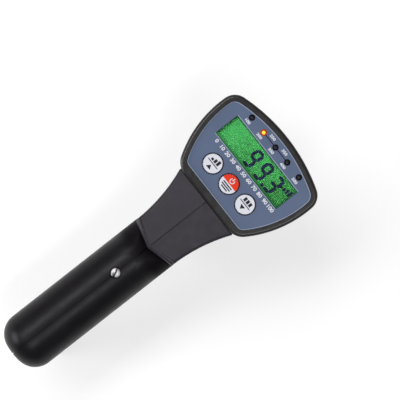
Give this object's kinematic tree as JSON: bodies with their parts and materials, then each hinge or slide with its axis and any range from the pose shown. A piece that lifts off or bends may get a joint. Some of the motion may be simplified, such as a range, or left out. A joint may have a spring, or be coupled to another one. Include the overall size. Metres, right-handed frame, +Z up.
{
  "type": "digital indentation hardness tester",
  "caption": "Hand-held indentation hardness tester: round grip over a spring-loaded point and a forked leg, flared neck and fan-shaped display head with lit screen, keys and lamps",
  "frame": {"origin": "tip of the indenter at rest, level with the feet, on the surface that the tool stands on", "axes": "+X from the grip to the display head, +Y to the user's left, +Z up from the tested surface"},
  "size_m": [0.1884, 0.0748, 0.074],
  "materials": {
    "grip_plastic": "satin moulded plastic, almost black",
    "neck_plastic": "satin moulded plastic, dark grey",
    "head_plastic": "satin moulded plastic, black",
    "panel_print": "printed film, blue grey",
    "window_clear": "clear polished window",
    "lcd_green": "green backlit display",
    "board_green": "lacquered circuit board",
    "switch_plastic": "black moulded switch",
    "lamp_resin": "tinted resin lamp",
    "key_white": "white key cap",
    "key_red": "key cap with a red upper half",
    "cell_jacket": "printed battery jacket",
    "spring_steel": "plated spring steel",
    "frame_steel": "milled steel",
    "leg_steel": "satin nickel plated steel",
    "sleeve_steel": "turned hardened steel",
    "screw_steel": "bright nickel plated steel",
    "guide_brass": "turned brass",
    "sensor_shell": "anodised aluminium block"
  },
  "bodies": {
    "body": {"housing_left": "grip_plastic", "housing_right": "grip_plastic", "top_screw": "screw_steel", "side_screws": "screw_steel", "neck_left": "neck_plastic", "neck_right": "neck_plastic", "neck_screws": "screw_steel", "head_bezel": "head_plastic", "head_back_cover": "head_plastic", "head_screws": "screw_steel", "panel_overlay": "panel_print", "display_window": "window_clear", "lcd_module": "lcd_green", "circuit_board": "board_green", "tact_switches": "switch_plastic", "indicator_leds": "lamp_resin", "battery_door": "head_plastic", "battery_door_screw": "screw_steel", "batteries": "cell_jacket", "battery_contacts": "spring_steel", "frame": "frame_steel", "leg_fork": "leg_steel", "leg_screw": "screw_steel", "point_sleeve": "sleeve_steel", "sleeve_lock_nut": "sleeve_steel", "load_spring": "spring_steel", "plunger_guide": "guide_brass", "lever_pin": "sleeve_steel", "sensor_body": "sensor_shell", "sensor_clamp_screw": "screw_steel"},
    "plunger": {"plunger": "sleeve_steel", "indenter_point": "sleeve_steel"},
    "lever": {"lever": "frame_steel"},
    "sensor_stem": {"sensor_stem": "sleeve_steel"},
    "key_up": {"key_up": "key_white"},
    "key_power": {"key_power": "key_red"},
    "key_down": {"key_down": "key_white"}
  },
  "joints": [
    {"name": "indenter_slide", "type": "slide", "parent": "body", "child": "plunger", "axis": [0, 0, 1], "range_m": [0, 0.00076], "stiffness_N_per_m": 3000, "springref_m": -0.012, "deforming": ["load_spring"]},
    {"name": "lever_pivot", "type": "hinge", "parent": "body", "child": "lever", "pos_m": [-0.014, 0, 0.05208], "axis": [0, -1, 0], "range_deg": [0, 3.12]},
    {"name": "sensor_stem_slide", "type": "slide", "parent": "body", "child": "sensor_stem", "axis": [0, 0, 1], "range_m": [0, 0.00191]},
    {"name": "key_up_press", "type": "slide", "parent": "body", "child": "key_up", "axis": [0, 0, 1], "range_m": [-0.0005, 0], "stiffness_N_per_m": 800, "springref_m": 0.001},
    {"name": "key_power_press", "type": "slide", "parent": "body", "child": "key_power", "axis": [0, 0, 1], "range_m": [-0.0005, 0], "stiffness_N_per_m": 800, "springref_m": 0.001},
    {"name": "key_down_press", "type": "slide", "parent": "body", "child": "key_down", "axis": [0, 0, 1], "range_m": [-0.0005, 0], "stiffness_N_per_m": 800, "springref_m": 0.001}
  ],
  "couplings": [
    {"joint": "lever_pivot", "follows": "indenter_slide", "rad_per_m": 71.429},
    {"joint": "sensor_stem_slide", "follows": "indenter_slide", "ratio": 2.5}
  ]
}
